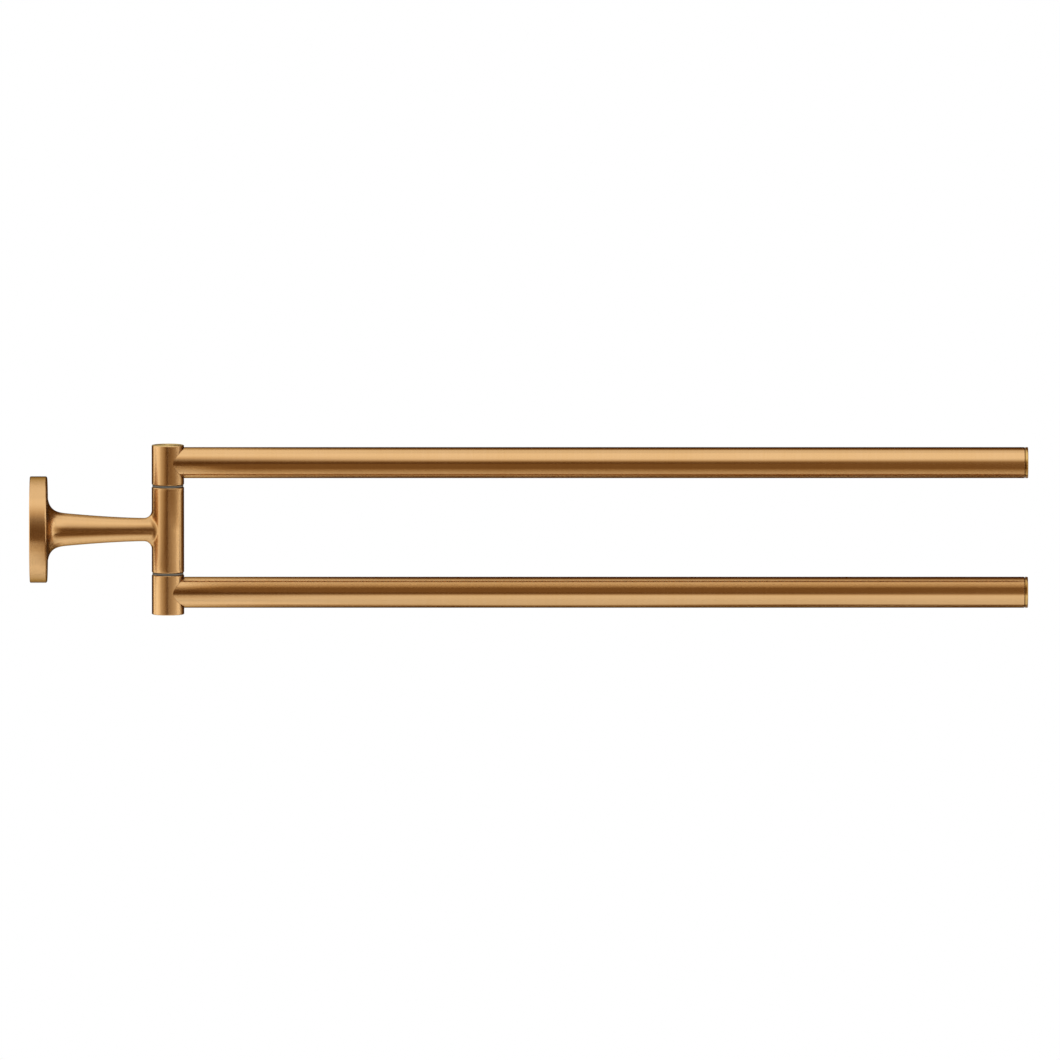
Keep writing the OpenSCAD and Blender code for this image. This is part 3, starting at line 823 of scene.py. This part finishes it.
paint = add(tree, "ShaderNodeBsdfDiffuse", {"Color": linear(FLOOR_WHITE)}).outputs[0]
white = add(tree, "ShaderNodeEmission", {"Color": linear(WHITE), "Strength": 1}).outputs[0]
mixed = add(tree, "ShaderNodeMixShader", {0: plain, 1: paint, 2: white}).outputs[0]
add(tree, "ShaderNodeOutputMaterial", {"Surface": mixed})
dress(floor, floor_paint)


# Brown cloth round the set.
# It hangs before and behind the holder, and lies level before the arms' gap and under the neck, to give
# the metal its dark bands and rims, as for a catalogue photograph. Only mirrored rays meet it.
FRONT_R = 850
BACK_R = 950
ARMS_FROM = -0.14
BESIDE_FADE = 0.02
CARD_FADE = 60
GREEN_POWER, BLUE_POWER = 1.35, 1.9
FOOT_STEPS, BALL_STEPS, SCREEN_SIDES = 7, 30, 96
FOOT_LIFT = 5
BALL_START = 2


def brown_cloth(piece, left, share_of):
    """Dresses a piece as cloth that is there for mirrored rays alone, and as deep as share_of says.
    Where it is deepest it shows the share left of red, and less of green and blue. Where it is thin,
    white shines through it in the same browns, and darker cloth behind it stays dark."""
    made = bpy.data.materials.new("brown_cloth_" + piece.name)
    made.use_nodes = True
    tree = made.node_tree
    tree.nodes.clear()
    share = share_of(tree, add(tree, "ShaderNodeTexCoord").outputs["Object"])
    red = add(tree, "ShaderNodeMapRange", {0: share, 3: 1, 4: left}).outputs[0]
    green = add(tree, "ShaderNodeMath", {0: red, 1: GREEN_POWER}, operation="POWER").outputs[0]
    blue = add(tree, "ShaderNodeMath", {0: red, 1: BLUE_POWER}, operation="POWER").outputs[0]
    brown = add(tree, "ShaderNodeCombineXYZ", {0: red, 1: green, 2: blue}).outputs[0]
    own = add(tree, "ShaderNodeVectorMath",
              {0: (left, left ** GREEN_POWER, left ** BLUE_POWER), "Scale": share},
              operation="SCALE").outputs[0]
    through = add(tree, "ShaderNodeVectorMath", {0: brown, 1: own}, operation="SUBTRACT").outputs[0]
    through = add(tree, "ShaderNodeBsdfTransparent", {"Color": through}).outputs[0]
    # Painted reflection: the cloth's own brown is emitted, a glow that only mirrored rays meet.
    own = add(tree, "ShaderNodeEmission", {"Color": own, "Strength": 1}).outputs[0]
    both = add(tree, "ShaderNodeAddShader", {0: through, 1: own}).outputs[0]
    add(tree, "ShaderNodeOutputMaterial", {"Surface": both})
    dress(piece, made)
    for ray in ("camera", "diffuse", "transmission", "volume_scatter", "shadow"):
        setattr(piece, "visible_" + ray, False)


def window(tree, value, low, full_low, full_high, high, ease="SMOOTHSTEP"):
    """1 from full_low to full_high, running out to 0 at low and at high."""
    up = add(tree, "ShaderNodeMapRange", {0: value, 1: low, 2: full_low},
             interpolation_type=ease).outputs[0]
    down = add(tree, "ShaderNodeMapRange", {0: value, 1: high, 2: full_high},
               interpolation_type=ease).outputs[0]
    return add(tree, "ShaderNodeMath", {0: up, 1: down}, operation="MULTIPLY").outputs[0]


def hanging_share(tree, spot, turns, by_rosette, by_arms, across, most=1):
    """Depth of a hanging cloth. turns is the cosine of the turn from straight on where it starts and is
    full. The heights beside the rosette and beside the arms, in degrees, and the distances across, in
    metres from the middle, are windows. Beside the arms it is at most as deep as most says."""
    off = add(tree, "ShaderNodeVectorMath", {0: spot, 1: (MIDDLE_X * MM, 0, 0)},
              operation="SUBTRACT").outputs[0]
    parts = add(tree, "ShaderNodeSeparateXYZ", {0: off}).outputs
    ground = add(tree, "ShaderNodeVectorMath", {0: off, 1: (1, 1, 0)}, operation="MULTIPLY").outputs[0]
    far = add(tree, "ShaderNodeVectorMath", {0: ground}, operation="LENGTH").outputs["Value"]
    rise = add(tree, "ShaderNodeMath", {0: parts[2], 1: far}, operation="ARCTAN2").outputs[0]
    turn = add(tree, "ShaderNodeMath", {0: parts[1], 1: far}, operation="DIVIDE").outputs[0]
    beside = add(tree, "ShaderNodeMapRange",
                 {0: parts[0], 1: ARMS_FROM - BESIDE_FADE, 2: ARMS_FROM + BESIDE_FADE}).outputs[0]
    by_arms = window(tree, rise, *[math.radians(a) for a in by_arms])
    by_arms = add(tree, "ShaderNodeMath", {0: by_arms, 1: most}, operation="MULTIPLY").outputs[0]
    by_rosette = window(tree, rise, *[math.radians(a) for a in by_rosette])
    tall = add(tree, "ShaderNodeMix", {0: beside, 2: by_rosette, 3: by_arms}).outputs[0]
    wide = window(tree, parts[0], *across, ease="LINEAR")
    facing = add(tree, "ShaderNodeMapRange", {0: turn, 1: turns[0], 2: turns[1]}).outputs[0]
    share = add(tree, "ShaderNodeMath", {0: tall, 1: wide}, operation="MULTIPLY").outputs[0]
    return add(tree, "ShaderNodeMath", {0: share, 1: facing}, operation="MULTIPLY").outputs[0]


def screen(name, radius, foot, top):
    """A round screen, just above the floor from foot outwards, and then up along a ball of this radius
    to top. Both are degrees below and above the level, from the middle of the arms."""
    meet = math.degrees(math.asin(-FLOOR_Z / radius))
    angles = [-foot + (foot - meet) * i / FOOT_STEPS for i in range(FOOT_STEPS + 1)]
    line = [(FLOOR_Z + FOOT_LIFT, -FLOOR_Z / math.tan(math.radians(-a))) for a in angles]
    start = BALL_START - meet
    angles = [start + (top + meet - BALL_START) * i / BALL_STEPS for i in range(BALL_STEPS + 1)]
    line += [(radius * math.sin(math.radians(a)), radius * math.cos(math.radians(a))) for a in angles]
    made = turned(name, "Z", (MIDDLE_X, 0, 0), line, sides=SCREEN_SIDES)
    bpy.ops.object.shade_smooth()
    return made


def level_card(name, left, height, across, far, full, clear):
    """A level sheet, in millimetres, deepest between the two middle places across it. Away from the
    holder it fades out over the last stretch before far, and towards it from full to clear."""
    deselect()
    bpy.ops.mesh.primitive_grid_add(x_subdivisions=4, y_subdivisions=4, size=MM)
    card = bpy.context.object
    card.name = card.data.name = name
    bpy.ops.object.mode_set(mode="EDIT")
    bpy.ops.mesh.select_all(action="SELECT")
    bpy.ops.transform.resize(value=(across[3] - across[0], clear - far, 1))
    bpy.ops.transform.translate(
        value=((across[0] + across[3]) / 2 * MM, (far + clear) / 2 * MM, height * MM))
    bpy.ops.object.mode_set(mode="OBJECT")

    def share(tree, spot):
        parts = add(tree, "ShaderNodeSeparateXYZ", {0: spot}).outputs
        near = window(tree, parts[1], *[y * MM for y in (far, far + CARD_FADE, full, clear)],
                      ease="LINEAR")
        wide = window(tree, parts[0], *[x * MM for x in across])
        return add(tree, "ShaderNodeMath", {0: wide, 1: near}, operation="MULTIPLY").outputs[0]

    brown_cloth(card, left, share)


brown_cloth(screen("front_screen", FRONT_R, foot=60, top=62), 0.05, lambda tree, spot: hanging_share(
    tree, spot, turns=(-0.1, -0.3), by_rosette=(-48, -10, 20, 60), by_arms=(-24, -3, 6, 32),
    across=(-0.9, -0.2, 0.1, 0.95), most=0.89))
brown_cloth(screen("back_screen", BACK_R, foot=84, top=76), 0.16, lambda tree, spot: hanging_share(
    tree, spot, turns=(0.1, 0.3), by_rosette=(-20, -8, 10, 22), by_arms=(-82, -60, 52, 74),
    across=(-0.88, -0.76, 0.8, 0.92)))
level_card("card_at_arms", left=0.24, height=0, across=(60, 92, 468, 480), far=-420, full=-40, clear=6)
level_card("card_at_neck", left=0.16, height=-20, across=(2, 16, 58, 68), far=-210, full=-30, clear=-14)


# Lamps and room.
# A soft box overhead lights the matt surfaces and the floor, and six weak lamps glow in the metal. The
# room is white to the camera and in the metal, and lights matt surfaces at two thirds of that.
ROOM_LIGHT = 0.66

for name, white, mirrored, size, place in (
        ("soft_box", 1.1, False, (1.5, 1.1), (0.225, -0.45, 1.1)),
        ("glow_above", 0.18, True, (1.5, 0.9), (0.225, -0.6, 0.9)),
        ("glow_left", 0.4, True, (0.6, 1.2), (-0.75, -0.22, 0)),
        ("glow_right", 0.35, True, (0.5, 1.2), (0.95, -0.17, 0)),
        ("glow_behind_left", 0.5, True, (0.22, 1.2), (-0.67, 0.29, 0)),
        ("glow_over_neck", 0.18, True, (0.14, 0.5), (0.07, 0.12, 0.6)),
        ("glow_under_neck", 0.18, True, (0.14, 0.24), (0.07, 0.02, -0.27))):
    deselect()
    bpy.ops.object.light_add(type="AREA", location=place)
    lamp = bpy.context.object
    lamp.name = name
    lamp.data.shape = "RECTANGLE"
    lamp.data.size, lamp.data.size_y = size
    lamp.data.energy = white * math.pi * size[0] * size[1]
    aim = Vector((PIVOT_X * MM, 0, 0)) - lamp.location
    lamp.rotation_euler = aim.to_track_quat("-Z", "Y").to_euler()
    lamp.visible_camera = False
    lamp.visible_glossy = mirrored
room = bpy.data.worlds.new("white_room")
bpy.context.scene.world = room
room.use_nodes = True
tree = room.node_tree
tree.nodes.clear()
lit = add(tree, "ShaderNodeBackground", {"Color": linear(WHITE), "Strength": ROOM_LIGHT}).outputs[0]
seen = add(tree, "ShaderNodeBackground", {"Color": linear(WHITE), "Strength": 1}).outputs[0]
mixed = add(tree, "ShaderNodeMixShader", {0: seen_share(tree), 1: lit, 2: seen}).outputs[0]
add(tree, "ShaderNodeOutputWorld", {"Surface": mixed})


# Camera.
# A very long lens, square to the side of the holder and a little above it, as in the photograph.
VIEW_W = 477.8
VIEW_X = 225.4
VIEW_Z = -0.2
CAMERA_RISE = 5.5
CAMERA_FAR = 12
SENSOR = 36
CLIP_END = 80

deselect()
rise = math.radians(CAMERA_RISE)
bpy.ops.object.camera_add(
    location=(VIEW_X * MM, -CAMERA_FAR * math.cos(rise), VIEW_Z * MM + CAMERA_FAR * math.sin(rise)),
    rotation=(math.pi / 2 - rise, 0, 0))
camera = bpy.context.object
camera.data.sensor_width = SENSOR
camera.data.lens = SENSOR * CAMERA_FAR / (VIEW_W * MM)
camera.data.clip_end = CLIP_END
bpy.context.scene.camera = camera
bpy.context.scene.view_settings.view_transform = "Standard"
